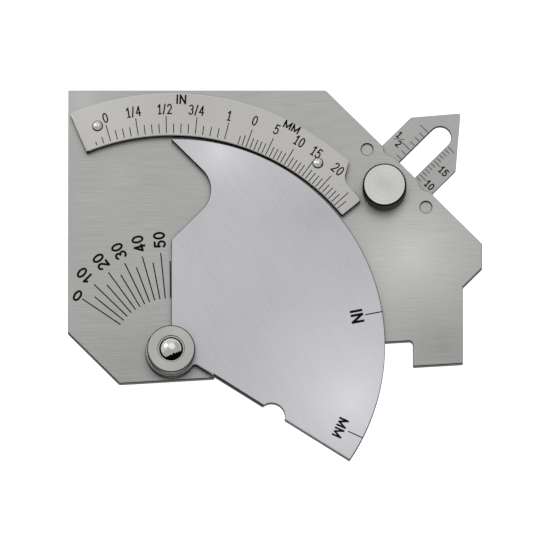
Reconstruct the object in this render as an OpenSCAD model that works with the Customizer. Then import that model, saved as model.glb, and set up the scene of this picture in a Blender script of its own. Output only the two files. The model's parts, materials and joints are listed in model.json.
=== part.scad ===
// Cam-type weld gauge: a bridge plate that carries a swinging cam, a riveted arc scale
// and a throat pointer that slides behind the plate under a thumb screw.
// Origin: on the cam's pivot axis, in the plane that the rear rivet heads rest on.
// +X runs along the top edge to the nose, +Y runs up to the top edge, +Z leaves the front face.
// All lengths are in millimetres, all angles in degrees.

/* [Body plate] */
// Thickness of the body plate
body_t = 3; // [2:0.1:5]
// Distance from the pivot axis to the left edge
body_left = 25.9; // [22:0.1:34]
// Distance from the pivot axis to the nose face
body_right = 77.7; // [74:0.1:86]
// Metal between the arc scale and the top edge
top_margin = 1.3; // [0.5:0.1:6]
// Leg of the 45 degree cut at the throat corner
corner_cut = 39.1; // [34:0.1:42]
// Height of the upright nose face
nose_h = 6.2; // [3:0.1:10]
// Leg of the 45 degree cut under the nose
nose_cut = 4.85; // [2:0.05:8]
// Width of the right foot
foot_w = 12.5; // [8:0.1:18]
// Slope of the line that both feet stand on, against the top edge
base_slope = 3.4; // [0:0.1:5]
// Metal between the cam's round end and the line of the feet
base_margin = 0.4; // [0.2:0.1:3]
// Leg of the 45 degree cut at the left foot
base_cut = 12.9; // [6:0.1:18]
// Inner end of the left foot, from the pivot axis
left_foot_x = 10.75; // [8:0.05:20]
// Height of the bridge gap between the feet
bridge_h = 6.55; // [3:0.05:9]
// Radius in the two corners of the bridge gap
bridge_fillet = 1; // [0.5:0.1:2]
// Radius of the two reading scallops in the throat edge
scallop_r = 2.6; // [1.5:0.1:3]
// Depth of the reading scallops
scallop_depth = 0.8; // [0.3:0.1:1.2]

/* [Cam] */
// Thickness of the cam
cam_t = 2.5; // [1.5:0.1:4]
// Farthest reach of the cam's rim from the pivot axis
cam_r = 54.4; // [50:0.1:58]
// Distance of the rim's own centre from the pivot axis
rim_shift = 2; // [0:0.1:3]
// Direction from the pivot axis to the rim's centre
rim_turn = 60; // [45:1:75]
// Depth of the V cut behind the cam's measuring tip, from the straight reading edge
v_depth = 12.7; // [8:0.1:16]
// Height of the V cut's point above the pivot axis
v_height = 41.2; // [39:0.1:43]
// Angle of each side of the V cut against its middle line
v_half_angle = 45; // [40:1:50]
// Radius in the point of the V cut
v_radius = 7; // [3:0.1:9]
// Direction of the cam's lower edge
lower_angle = -32.3; // [-40:0.1:-25]
// Offset of the cam's lower edge from the pivot axis
lower_offset = 0.5; // [0:0.1:2]
// Distance of the round notch from the pivot, along the lower edge
notch_along = 29.9; // [20:0.1:40]
// Radius of the round notch
notch_r = 3.35; // [2:0.05:5]
// Distance of the notch's centre outside the lower edge
notch_out = 1; // [0:0.1:1.5]
// Metal that the cam's round end leaves around the washer
boss_rim = 0.45; // [0.2:0.05:2]
// Radius where the round end meets the lower edge
boss_fillet = 1; // [0.5:0.1:2]

/* [Arc scale] */
// Thickness of the arc scale
scale_t = 2.5; // [1.5:0.1:4]
// Width of the arc scale across its arc
scale_w = 10.8; // [8:0.1:14]
// Gap between the cam's rim and the arc scale
scale_gap = 0.5; // [0.3:0.1:2]
// Angle of the arc scale's left end
scale_start = 112.7; // [105:0.1:118]
// Angle of the arc scale's right end
scale_end = 39; // [36:0.1:41]
// Angle from the left end to the left rivet
left_rivet_angle = 4.8; // [3:0.1:8]
// Angle from the right end to the right rivet
right_rivet_angle = 13.6; // [12:0.1:18]
// Gap between the arc scale and the thumb screw's head
screw_gap = 0.75; // [0.4:0.05:2]
// Angle from the thumb screw to the foot of the step in the arc scale
step_lead_angle = 7.2; // [6.5:0.1:9]
// Lean of the step against the radius
step_lean_angle = 31; // [0:1:40]
// Radius in the corner of the step
step_fillet = 3; // [1:0.1:4]
// Radius of the outer corner at the arc scale's right end
end_radius = 1; // [0.5:0.1:2]

/* [Throat pointer] */
// Thickness of the pointer
pointer_t = 1.5; // [1:0.1:2.5]
// Width of the pointer
pointer_w = 17.6; // [15:0.1:20]
// Included angle of the pointer's tip
tip_angle = 80.4; // [60:0.1:90]
// Width of the flat on the pointer's tip
tip_flat = 0.5; // [0.2:0.1:1]
// Width of the slot
slot_w = 5.5; // [5:0.1:7]
// Distance from the tip to the centre of the slot's front end
slot_front = 7.7; // [6:0.1:10]
// Metal behind the slot
pointer_tail = 4; // [2:0.1:8]
// Distance from the throat corner to the tip as the pointer is set
reading = 7.8; // [2:0.1:16]
// Distance of the pointer's middle line below the throat corner's diagonal, which its tip is on
throat_shift = 0.75; // [0:0.05:1.5]
// Distance from the throat corner to the thumb screw
screw_setback = 35.3; // [34:0.1:37]

/* [Pivot] */
// Diameter of the pivot rivet's shank
pivot_d = 5; // [3:0.1:5.4]
// Diameter of the domed head in front
dome_d = 6; // [5.8:0.1:7]
// Height of the domed head
dome_h = 1.5; // [0.8:0.1:2.5]
// Diameter of the front washer, the rear washer and the round end of the cam
washer_d = 12; // [11:0.1:16]
// Thickness of the front washer
washer_t = 3; // [1.5:0.1:4]
// Bevel on the edges of the washers
washer_bevel = 0.3; // [0.1:0.05:0.5]
// Depth of the recess around the domed head
dome_recess = 0.35; // [0.1:0.05:0.8]
// Thickness of the disc spring's metal
spring_t = 0.6; // [0.3:0.1:1]
// Height of the disc spring's cone
spring_cone = 0.5; // [0.2:0.1:0.8]
// Thickness of the rear washer
rear_washer_t = 1.6; // [0.8:0.1:2.2]
// Diameter of the pivot rivet's rear head
rear_head_d = 8; // [7:0.1:10]

/* [Rivets] */
// Diameter of the guide rivets' shanks
guide_d = 3; // [2:0.1:4]
// Distance from the throat corner to the guide rivets
guide_setback = 31; // [30:0.1:33]
// Diameter of the guide rivets' rear heads
guide_head_d = 6; // [5:0.1:7]
// Height of the guide rivets' rear heads
guide_head_h = 1.9; // [1.5:0.1:3]
// Bevel around the rear heads of the pivot rivet and the guide rivets
head_bevel = 0.8; // [0.3:0.1:1.2]
// Depth of the guide rivets' ends under the front face
guide_sunk = 0.8; // [0:0.05:1.2]
// Diameter of the arc scale's rivets
scale_rivet_d = 2; // [1.5:0.1:2.5]
// Diameter of the domed heads on the arc scale
scale_head_d = 2.8; // [2.6:0.1:4]
// Height of the domed heads on the arc scale
scale_head_h = 0.8; // [0.4:0.1:1.2]

/* [Thumb screw] */
// Diameter of the knurled head
head_d = 11.1; // [9:0.1:12]
// Height of the whole head
head_h = 7.5; // [5:0.1:9]
// Diameter of the flat face on the head
face_d = 10.2; // [8:0.1:10.4]
// Height of the bevel around that face
face_bevel = 0.35; // [0.2:0.05:0.8]
// Diameter of the plain collar under the knurl
collar_d = 9.6; // [8:0.1:10.2]
// Height of the plain collar
collar_h = 0.9; // [0.5:0.1:2]
// Grooves around the knurl
knurl_count = 44; // [24:1:60]
// Depth of the knurl's grooves
knurl_depth = 0.25; // [0.1:0.05:0.4]
// Set-in of the bevelled face from the roots of the knurl
face_set = 0.05; // [0.03:0.01:0.2]
// Diameter of the screw's stud
stud_d = 4; // [3:0.1:4.2]
// Diameter of the clamp nut's flange
nut_d = 10; // [9:0.1:12]
// Thickness of the clamp nut's flange
nut_t = 1.2; // [0.8:0.1:1.8]
// Length of the nut's key along the slot
key_l = 6.5; // [6.2:0.1:8]

/* [Clearances] */
// Radial clearance of a turning or sliding shank in its hole
run_fit = 0.05; // [0.02:0.01:0.1]
// Clearance over and under the cam
run_gap = 0.05; // [0.02:0.01:0.2]
// Clearance of the pointer at its guides and of the nut's key in the slot
slide_gap = 0.1; // [0.05:0.01:0.2]

/* [Hidden] */
$fn = 96;

// Room that a cutting shape takes past the face it cuts
over = 1;
// Overlap by which a rounded corner crosses the lines that it would only touch
bite = 0.02;

// Levels along Z, from the rest plane up
back_z = guide_head_h + slide_gap + pointer_t;
front_z = back_z + body_t;
cam_z = front_z + run_gap;
spring_z = cam_z + cam_t + run_gap;
washer_z = spring_z + spring_t + spring_cone;
dome_z = washer_z + washer_t - dome_recess;
scale_top_z = front_z + scale_t;
pointer_z = back_z - pointer_t;
nut_z = pointer_z - nut_t;

// Radii about the pivot axis
boss_r = washer_d / 2 + boss_rim;
scale_in_r = cam_r + scale_gap;
scale_out_r = scale_in_r + scale_w;
scale_mid_r = (scale_in_r + scale_out_r) / 2;

// The throat corner, where the top edge and the nose face would meet
body_top = scale_out_r + top_margin;
corner = [body_right, body_top];
throat_angle = 45;
throat_edge = corner_cut * cos(throat_angle);
throat_at = corner - throat_shift * direction(throat_angle + 90);
screw_at = throat_at - screw_setback * direction(throat_angle);
screw_turn = atan2(screw_at.y, screw_at.x);
step_r = norm(screw_at) - head_d / 2 - screw_gap;

// Places across the plate
base_drop = (boss_r + base_margin) / cos(base_slope);
foot_out_x = body_right - nose_cut;
foot_in_x = foot_out_x - foot_w;
nose_low = body_top - corner_cut - nose_h;
guide_y = pointer_w / 2 + slide_gap + guide_d / 2;
rivet_angles = [scale_start - left_rivet_angle, scale_end + right_rivet_angle];

// The nut's key and the stops that it meets at the slot's ends
key_w = slot_w - 2 * slide_gap;
key_reach = sqrt(pow(key_l / 2, 2) - pow(key_w / 2, 2));
stop_gap = key_reach - sqrt(pow(slot_w / 2, 2) - pow(key_w / 2, 2)) + slide_gap;
slot_back = screw_setback + stop_gap;
pointer_l = slot_back + slot_w / 2 + pointer_tail;

function direction(a) = [cos(a), sin(a)];
function polar(r, a) = r * direction(a);
function base_y(x) = x * tan(base_slope) - base_drop;
function unit(v) = v / norm(v);
function dome_r(d, h) = (d * d / 4 + h * h) / (2 * h);

// Cap of a sphere that stands on the XY plane
module dome(d, h) {
    intersection() {
        translate([0, 0, h - dome_r(d, h)]) sphere(dome_r(d, h));
        cylinder(h = h, d = d);
    }
}

// Rivet head that is bevelled at its flat end, which lies in the XY plane
module pan_head(d, h) {
    rotate_extrude()
        polygon([[0, 0], [d / 2 - head_bevel, 0], [d / 2, head_bevel], [d / 2, h], [0, h]]);
}

// Washer with bevelled edges that stands on the XY plane
module bevelled_washer(t, bore) {
    inner = bore / 2;
    outer = washer_d / 2;
    rotate_extrude()
        polygon([[inner, 0], [outer - washer_bevel, 0], [outer, washer_bevel],
                 [outer, t - washer_bevel], [outer - washer_bevel, t], [inner, t]]);
}

// Carries its children to the throat corner, with X out along the pointer's middle line
module at_throat() {
    translate(throat_at) rotate(throat_angle) children();
}

// The gap between the feet, with round upper corners
module bridge_gap() {
    along = direction(base_slope);
    below = -base_drop - bridge_h;
    tops = [for (x = [left_foot_x, foot_in_x]) [x, base_y(x) + bridge_h]];
    turns = [90 - base_slope, 90 + base_slope];
    reach = [for (t = turns) bridge_fillet * tan(t / 2)];
    sides = [for (i = [0, 1]) tops[i] - [0, reach[i]]];
    centres = [sides[0] + [bridge_fillet, 0], sides[1] - [bridge_fillet, 0]];
    polygon([[left_foot_x, below], sides[0], centres[0], tops[0] + reach[0] * along,
             tops[1] - reach[1] * along, centres[1], sides[1], [foot_in_x, below]]);
    for (c = centres)
        translate(c) circle(bridge_fillet);
}

module body_outline() {
    left_cut_x = base_cut - body_left;
    polygon([
        [-body_left, body_top],
        [-body_left, base_y(left_cut_x) + base_cut],
        [left_cut_x, base_y(left_cut_x)],
        [foot_out_x, base_y(foot_out_x)],
        [foot_out_x, nose_low - nose_cut],
        [body_right, nose_low],
        [body_right, body_top - corner_cut],
        [body_right - corner_cut, body_top]
    ]);
}

module body_plate() {
    scallop_y = pointer_w / 2 - scallop_r;
    color("darkgray")
    translate([0, 0, back_z])
    difference() {
        linear_extrude(body_t)
            difference() {
                body_outline();
                bridge_gap();
                at_throat()
                    for (side = [-1, 1])
                        translate([scallop_r - scallop_depth - throat_edge, side * scallop_y])
                            circle(scallop_r);
            }
        translate([0, 0, -over]) {
            cylinder(h = body_t + 2 * over, d = pivot_d + 2 * run_fit);
            translate(screw_at) cylinder(h = body_t + 2 * over, d = stud_d + 2 * run_fit);
            at_throat()
                for (side = [-1, 1])
                    translate([-guide_setback, side * guide_y])
                        cylinder(h = body_t + 2 * over, d = guide_d);
            for (a = rivet_angles)
                translate(polar(scale_mid_r, a))
                    cylinder(h = body_t + 2 * over, d = scale_rivet_d);
        }
    }
}

// Room in the arc scale for the thumb screw's head: a step with a round corner
module screw_step() {
    foot = polar(step_r, screw_turn + step_lead_angle);
    wall = direction(screw_turn + step_lead_angle + step_lean_angle);
    across = [wall.y, -wall.x];
    reach = step_fillet - bite;
    start = foot + reach * across;
    lift = -(start * wall) + sqrt(pow(start * wall, 2) - start * start + pow(step_r + reach, 2));
    centre = start + lift * wall;
    clear_angle = scale_end - step_lead_angle;
    difference() {
        polygon([foot - over * wall, foot + scale_w * 2 * wall,
                 polar(scale_out_r + scale_w, clear_angle), polar(step_r - over, clear_angle)]);
        circle(step_r);
        difference() {
            polygon([foot - over * (wall + across), centre - (step_fillet + over) * across, centre,
                     unit(centre) * (step_r - over)]);
            translate(centre) circle(step_fillet);
        }
    }
}

// What is taken off the outer corner at the arc scale's right end
module end_round() {
    past = over * [sin(scale_end), -cos(scale_end)];
    reach = end_radius - bite;
    centre_r = step_r - reach;
    turn = asin(reach / centre_r);
    centre = polar(centre_r, scale_end + turn);
    difference() {
        polygon([centre, polar(centre_r * cos(turn), scale_end) + past,
                 polar(step_r + over, scale_end) + past, unit(centre) * (step_r + over)]);
        translate(centre) circle(end_radius);
    }
}

module arc_scale() {
    far = 2 * scale_out_r;
    middle = (scale_start + scale_end) / 2;
    color("silver")
    translate([0, 0, front_z])
    difference() {
        linear_extrude(scale_t)
            difference() {
                intersection() {
                    circle(scale_out_r);
                    polygon([[0, 0], polar(far, scale_end), polar(far, middle), polar(far, scale_start)]);
                }
                circle(scale_in_r);
                screw_step();
                end_round();
            }
        for (a = rivet_angles)
            translate(concat(polar(scale_mid_r, a), -over))
                cylinder(h = scale_t + 2 * over, d = scale_rivet_d);
    }
}

module scale_rivets() {
    color("gainsboro")
    for (a = rivet_angles)
        translate(polar(scale_mid_r, a)) {
            translate([0, 0, back_z]) cylinder(h = scale_top_z - back_z, d = scale_rivet_d);
            translate([0, 0, scale_top_z]) dome(scale_head_d, scale_head_h);
        }
}

// The V behind the measuring tip, with its point rounded
module v_cut() {
    point = [v_depth, v_height];
    centre = point - [v_radius / sin(v_half_angle), 0];
    side = v_radius * direction(90 - v_half_angle);
    rise = v_depth * tan(v_half_angle);
    polygon([[-over, v_height + rise + over * tan(v_half_angle)], centre + side, centre,
             centre + [side.x, -side.y], [0, v_height - rise], [-over, v_height - rise]]);
    translate(centre) circle(v_radius);
}

module cam_outline() {
    edge = direction(lower_angle);
    inward = [-edge.y, edge.x];
    start = lower_offset * inward;
    far = 2 * cam_r;
    fillet_out = boss_fillet - bite;
    fillet_run = sqrt(pow(boss_r + fillet_out, 2) - pow(lower_offset - fillet_out, 2));
    fillet_at = start + fillet_run * edge - fillet_out * inward;
    difference() {
        intersection() {
            translate(polar(rim_shift, rim_turn)) circle(cam_r - rim_shift);
            polygon([[0, 0], fillet_at, start + fillet_run * edge, start + far * edge, [far, far], [0, far]]);
        }
        v_cut();
        translate(start + notch_along * edge - notch_out * inward) circle(notch_r);
        translate(fillet_at) circle(boss_fillet);
    }
    circle(boss_r);
}

module cam_plate() {
    color("lightsteelblue")
    translate([0, 0, cam_z])
    difference() {
        linear_extrude(cam_t) cam_outline();
        translate([0, 0, -over]) cylinder(h = cam_t + 2 * over, d = pivot_d + 2 * run_fit);
    }
}

module pivot_rivet() {
    rear_head_h = back_z - rear_washer_t;
    color("whitesmoke") {
        pan_head(rear_head_d, rear_head_h);
        translate([0, 0, rear_head_h]) cylinder(h = dome_z - rear_head_h, d = pivot_d);
        translate([0, 0, dome_z]) dome(dome_d, dome_h);
    }
}

module pivot_washer() {
    recess_d = dome_d + 2 * dome_recess;
    color("darkgray")
    translate([0, 0, washer_z])
    difference() {
        bevelled_washer(washer_t, pivot_d + 2 * run_fit);
        translate([0, 0, washer_t - dome_recess]) cylinder(h = dome_recess + over, d = recess_d);
    }
}

module disc_spring() {
    inner = pivot_d / 2 + run_fit;
    outer = washer_d / 2 - washer_bevel;
    color("dimgray")
    translate([0, 0, spring_z])
    rotate_extrude()
        polygon([[outer, 0], [outer, spring_t], [inner, spring_t + spring_cone], [inner, spring_cone]]);
}

module rear_washer() {
    color("darkgray")
    translate([0, 0, back_z - rear_washer_t])
        bevelled_washer(rear_washer_t, pivot_d + 2 * run_fit);
}

module pointer_outline() {
    half = pointer_w / 2;
    sides = [throat_shift + tip_flat / 2, throat_shift - tip_flat / 2];
    left_shoulder = (half - sides[0]) / tan(tip_angle / 2);
    right_shoulder = (half + sides[1]) / tan(tip_angle / 2);
    polygon([[0, sides[1]], [0, sides[0]], [-left_shoulder, half], [-pointer_l, half],
             [-pointer_l, -half], [-right_shoulder, -half]]);
}

module throat_pointer() {
    color("gray")
    at_throat()
    translate([-reading, 0, pointer_z])
    linear_extrude(pointer_t)
        difference() {
            pointer_outline();
            translate([-slot_back, -slot_w / 2]) square([slot_back - slot_front, slot_w]);
            for (x = [slot_front, slot_back])
                translate([-x, 0]) circle(d = slot_w);
        }
}

module guide_rivets() {
    color("gainsboro")
    at_throat()
    for (side = [-1, 1])
        translate([-guide_setback, side * guide_y, 0]) {
            pan_head(guide_head_d, guide_head_h);
            translate([0, 0, guide_head_h])
                cylinder(h = front_z - guide_sunk - guide_head_h, d = guide_d);
        }
}

module knurled_outline() {
    steps = 2 * knurl_count;
    polygon([for (i = [0 : steps - 1]) polar(head_d / 2 - (i % 2) * knurl_depth, i * 360 / steps)]);
}

module thumb_screw() {
    knurl_h = head_h - collar_h - face_bevel;
    color("silver")
    translate(concat(screw_at, front_z)) {
        translate([0, 0, -(front_z - nut_z)]) cylinder(h = front_z - nut_z, d = stud_d);
        cylinder(h = collar_h, d = collar_d);
        translate([0, 0, collar_h]) linear_extrude(knurl_h) knurled_outline();
        translate([0, 0, collar_h + knurl_h])
            cylinder(h = face_bevel, d1 = head_d - 2 * (knurl_depth + face_set), d2 = face_d);
    }
}

module clamp_nut() {
    key_h = pointer_t - slide_gap;
    color("dimgray")
    translate(concat(screw_at, nut_z))
    rotate(throat_angle)
    difference() {
        union() {
            cylinder(h = nut_t, d = nut_d);
            intersection() {
                cylinder(h = nut_t + key_h, d = key_l);
                translate([-key_l, -key_w / 2, 0]) cube([2 * key_l, key_w, nut_t + key_h]);
            }
        }
        translate([0, 0, -over]) cylinder(h = nut_t + key_h + 2 * over, d = stud_d + 2 * run_fit);
    }
}

body_plate();
arc_scale();
scale_rivets();
cam_plate();
pivot_rivet();
pivot_washer();
disc_spring();
rear_washer();
throat_pointer();
guide_rivets();
thumb_screw();
clamp_nut();
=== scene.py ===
"""Looks of a cam-type weld gauge: steel finishes, engraved graduations, studio and camera.

Sizes in the classes are millimetres and degrees in the part's own frame: the origin is on the cam's pivot
axis, +X runs along the plate's top edge, +Y runs up to that edge and +Z leaves the front face.
"""
import json
import logging
import math
from abc import ABC, abstractmethod
from collections.abc import Callable, Iterator
from contextlib import contextmanager
from dataclasses import dataclass, field
from enum import Enum

import bpy
from bpy.types import Curve, Material, MeshPolygon, Node, NodeSocket, NodeTree, Object
from mathutils import Matrix, Vector


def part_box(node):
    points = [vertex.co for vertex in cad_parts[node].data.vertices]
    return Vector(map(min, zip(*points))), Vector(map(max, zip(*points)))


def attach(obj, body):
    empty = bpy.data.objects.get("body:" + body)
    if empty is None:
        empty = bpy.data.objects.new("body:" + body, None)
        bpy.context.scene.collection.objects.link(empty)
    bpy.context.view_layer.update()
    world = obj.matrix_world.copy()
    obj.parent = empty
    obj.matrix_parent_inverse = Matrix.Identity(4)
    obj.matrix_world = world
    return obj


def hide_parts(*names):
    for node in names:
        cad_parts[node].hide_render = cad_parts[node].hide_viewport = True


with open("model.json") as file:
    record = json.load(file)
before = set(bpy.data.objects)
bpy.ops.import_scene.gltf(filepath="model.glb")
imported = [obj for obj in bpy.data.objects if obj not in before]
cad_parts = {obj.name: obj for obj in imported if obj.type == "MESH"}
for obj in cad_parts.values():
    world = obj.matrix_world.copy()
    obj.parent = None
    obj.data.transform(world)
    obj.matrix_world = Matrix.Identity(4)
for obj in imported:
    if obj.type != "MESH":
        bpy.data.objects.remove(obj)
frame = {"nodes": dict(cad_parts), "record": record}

# Metres in a millimetre, and millimetres in an inch.
MM = 0.001
INCH = 25.4
# Distance in millimetres under which two heights or places count as one.
LEVEL = 0.01
# Blender's name of a curve that starts and ends softly.
SOFT = "SMOOTHSTEP"
LOG = logging.getLogger("weld_gauge")
Point = tuple[float, float]
EdgeTest = Callable[[Vector, Vector], bool]
FaceTest = Callable[[MeshPolygon], bool]


def linear(hex_colour: str) -> tuple[float, float, float, float]:
    """Turns an sRGB hex colour into linear light.

    Args:
        hex_colour: Colour such as "#a0a0a0".

    Returns:
        Red, green, blue and alpha as linear values.
    """
    channels = [int(hex_colour[i:i + 2], 16) / 255 for i in (1, 3, 5)]
    light = [c / 12.92 if c <= 0.04045 else ((c + 0.055) / 1.055) ** 2.4 for c in channels]
    return (*light, 1.0)


def add_node(tree: NodeTree, kind: str, inputs: dict | None = None, **settings) -> Node:
    """Adds a node with its settings and links.

    Args:
        tree: Node tree that gets the node.
        kind: Blender's name of the node type.
        inputs: Socket name or number, with the value or the output socket that it takes.
        settings: Attributes of the node.

    Returns:
        The new node.
    """
    node = tree.nodes.new(kind)
    for name, value in settings.items():
        setattr(node, name, value)
    for socket, value in (inputs or {}).items():
        if isinstance(value, NodeSocket):
            tree.links.new(value, node.inputs[socket])
        else:
            node.inputs[socket].default_value = value
    return node


def ramp(tree: NodeTree, value: NodeSocket, low: float, high: float,
         start: float = 0.0, end: float = 1.0, curve: str = "LINEAR") -> NodeSocket:
    """Maps a value from one range onto another.

    Args:
        tree: Node tree that gets the node.
        value: Output to map.
        low: Result at the start of the value's range.
        high: Result at its end.
        start: Start of the value's range.
        end: End of the value's range.
        curve: Blender's name of the curve between them.

    Returns:
        Output with the result.
    """
    return add_node(tree, "ShaderNodeMapRange", {
        "Value": value, "From Min": start, "From Max": end, "To Min": low, "To Max": high},
        interpolation_type=curve).outputs[0]


def compute(tree: NodeTree, operation: str, *values: NodeSocket | float) -> NodeSocket:
    """Adds one step of arithmetic and returns its output."""
    return add_node(tree, "ShaderNodeMath", dict(enumerate(values)), operation=operation).outputs[0]


def select_only(obj: Object) -> None:
    """Selects one object alone and makes it the active one.

    Args:
        obj: Object to select.
    """
    bpy.ops.object.select_all(action="DESELECT")
    obj.select_set(True)
    bpy.context.view_layer.objects.active = obj


@contextmanager
def editing(piece: Object) -> Iterator[None]:
    """Keeps one piece open in edit mode for a few steps.

    Args:
        piece: Piece to work on.

    Returns:
        The context for a with statement.
    """
    select_only(piece)
    bpy.ops.object.mode_set(mode="EDIT")
    yield
    bpy.ops.object.mode_set(mode="OBJECT")


def polar(radius: float, angle: float) -> Vector:
    """Returns the flat point at a radius and an angle in degrees."""
    return Vector((radius * math.cos(math.radians(angle)), radius * math.sin(math.radians(angle))))


def body_of(node: str) -> str:
    """Returns the name of the moving body that carries a CAD node."""
    groups = frame["record"]["behaviour"]["bodies"]
    return next(body for body, nodes in groups.items() if node in nodes)


def top_of(node: str) -> float:
    """Returns the height of a CAD node's upper face in millimetres."""
    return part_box(node)[1][2] / MM


def axis_of(node: str) -> Vector:
    """Returns the middle of a CAD node's box in metres, which is the axis of a turned piece."""
    low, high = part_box(node)
    return (Vector(low) + Vector(high)) / 2


def faces_near(face: MeshPolygon, flat: float = 0.9, lean: float = 0.4) -> bool:
    """Tells whether a face slopes towards the near side of the table, where an edge catches no light, so that
    it gets the sides' painted shade.

    Args:
        face: Face to test.
        flat: Upward share of its direction over which it counts as flat.
        lean: Nearward share of its direction over which it faces the near side.

    Returns:
        Whether it does.
    """
    return face.normal.z < flat and face.normal.y < -lean


class Grain(Enum):
    """Direction of the brushing on each plate, in degrees from the top edge."""

    PLATE = 0.0
    CAM = -58.0
    SCALE = 12.0
    POINTER = 45.0


@dataclass(frozen=True)
class Patch:
    """Round place on a brushed face where light or shade is painted into the tone: lighter for a positive
    gain, darker for a negative one.

    Args:
        x: Middle of the place, along the top edge.
        y: Middle of the place, across it.
        radius: Radius at which the place fades out.
        gain: Share by which its middle is painted lighter, or darker when it is below zero.
    """

    x: float
    y: float
    radius: float
    gain: float


@dataclass(frozen=True)
class Finish:
    """Finish of a real material: a colour with one pattern in its tone, its roughness and its relief.

    Args:
        name: Name of the material.
        colour: Middle colour.
    """

    name: str
    colour: str

    def begin(self) -> tuple[Material, NodeSocket]:
        """Adds the material.

        Returns:
            The material and the output with its object coordinates.
        """
        material = bpy.data.materials.new(self.name)
        material.use_nodes = True
        return material, add_node(material.node_tree, "ShaderNodeTexCoord").outputs["Object"]

    def complete(self, material: Material, tone: NodeSocket, rough: NodeSocket, pattern: NodeSocket,
                 relief: tuple[float, float], settings: dict[str, float]) -> Material:
        """Joins the tone, the roughness and the relief to the shader.

        Args:
            material: Material to complete.
            tone: Output with the share of the middle colour.
            rough: Output with the roughness.
            pattern: Output with the pattern of the relief.
            relief: Strength of the bump and the pattern's height.
            settings: Name and value of the shader's even sockets.

        Returns:
            The same material.
        """
        tree = material.node_tree
        shader = tree.nodes["Principled BSDF"]
        for socket, value in settings.items():
            shader.inputs[socket].default_value = value
        colour = add_node(tree, "ShaderNodeMix", {0: tone, 6: (0, 0, 0, 1), 7: linear(self.colour)},
                          data_type="RGBA", clamp_factor=False).outputs[2]
        strength, height = relief
        bump = add_node(tree, "ShaderNodeBump", {
            "Height": pattern, "Strength": strength, "Distance": height * MM}).outputs[0]
        for socket, output in (("Base Color", colour), ("Roughness", rough), ("Normal", bump)):
            tree.links.new(output, shader.inputs[socket])
        return material


@dataclass(frozen=True)
class BrushedSteel(Finish):
    """Stainless sheet, brushed on a belt: fine straight streaks and soft clouds in a grey satin metal, with
    round patches of painted light and shade.

    Args:
        grain: Direction of the brushing.
        contrast: Share by which the streaks are lighter or darker.
        roughness: Middle roughness.
        rough_spread: Difference that the streaks make to it.
        streak_width: Width of the finest streaks.
        streak_length: Length of the finest streaks.
        broad: Number of times that the broad streaks are wider and longer.
        broad_share: Strength of the broad streaks beside the finest ones.
        cloud: Share by which the soft clouds are lighter or darker.
        cloud_size: Size of the clouds.
        relief: Strength of the streaks' bump and their height.
        patches: Places where light or shade is painted into the tone.
    """

    grain: Grain
    contrast: float = 0.3
    roughness: float = 0.36
    rough_spread: float = 0.08
    streak_width: float = 0.25
    streak_length: float = 8.0
    broad: float = 3.5
    broad_share: float = 0.2
    cloud: float = 0.06
    cloud_size: float = 16.0
    relief: tuple[float, float] = (0.12, 0.02)
    patches: tuple[Patch, ...] = ()

    def streaks(self, tree: NodeTree, place: NodeSocket, coarse: float) -> NodeSocket:
        """Adds streaks along the grain.

        Args:
            tree: Node tree of the material.
            place: Object coordinates.
            coarse: Number of times that the streaks are wider and longer than the finest ones.

        Returns:
            Output with the streaks' strength, around one half.
        """
        # Real brushing is about 0.05 mm wide; the streaks are as coarse as they need to show in the render.
        width = self.streak_width * coarse * MM
        along = add_node(tree, "ShaderNodeMapping", {
            "Vector": place, "Rotation": (0, 0, math.radians(self.grain.value)),
            "Scale": (self.streak_length * coarse * MM, width, width)}, vector_type="TEXTURE").outputs[0]
        return add_node(tree, "ShaderNodeTexNoise", {
            "Vector": along, "Scale": 1.0, "Detail": 3.0, "Roughness": 0.65}).outputs["Fac"]

    def material(self) -> Material:
        """Builds the material.

        Returns:
            The new material.
        """
        material, place = self.begin()
        tree = material.node_tree
        fine = self.streaks(tree, place, 1.0)
        broad = self.streaks(tree, place, self.broad)
        clouds = add_node(tree, "ShaderNodeTexNoise", {
            "Vector": place, "Scale": 1 / (self.cloud_size * MM), "Detail": 2.0}).outputs["Fac"]
        tone = ramp(tree, fine, 1 - self.contrast, 1 + self.contrast)
        for share, pattern in ((self.broad_share * self.contrast, broad), (self.cloud, clouds)):
            tone = compute(tree, "ADD", tone, ramp(tree, pattern, -share, share))
        # Painted light and shade: each patch lifts or lowers the tone round its middle.
        for patch in self.patches:
            size = patch.radius * MM
            around = add_node(tree, "ShaderNodeMapping", {
                "Vector": place, "Location": (patch.x * MM, patch.y * MM, 0), "Scale": (size, size, 1.0)},
                vector_type="TEXTURE").outputs[0]
            glow = add_node(tree, "ShaderNodeTexGradient", {"Vector": around},
                            gradient_type="QUADRATIC_SPHERE").outputs["Fac"]
            tone = compute(tree, "MULTIPLY_ADD", glow, patch.gain, tone)
        rough = ramp(tree, fine, self.roughness - self.rough_spread, self.roughness + self.rough_spread)
        return self.complete(material, tone, rough, fine, self.relief, {"Metallic": 1.0})


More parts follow.
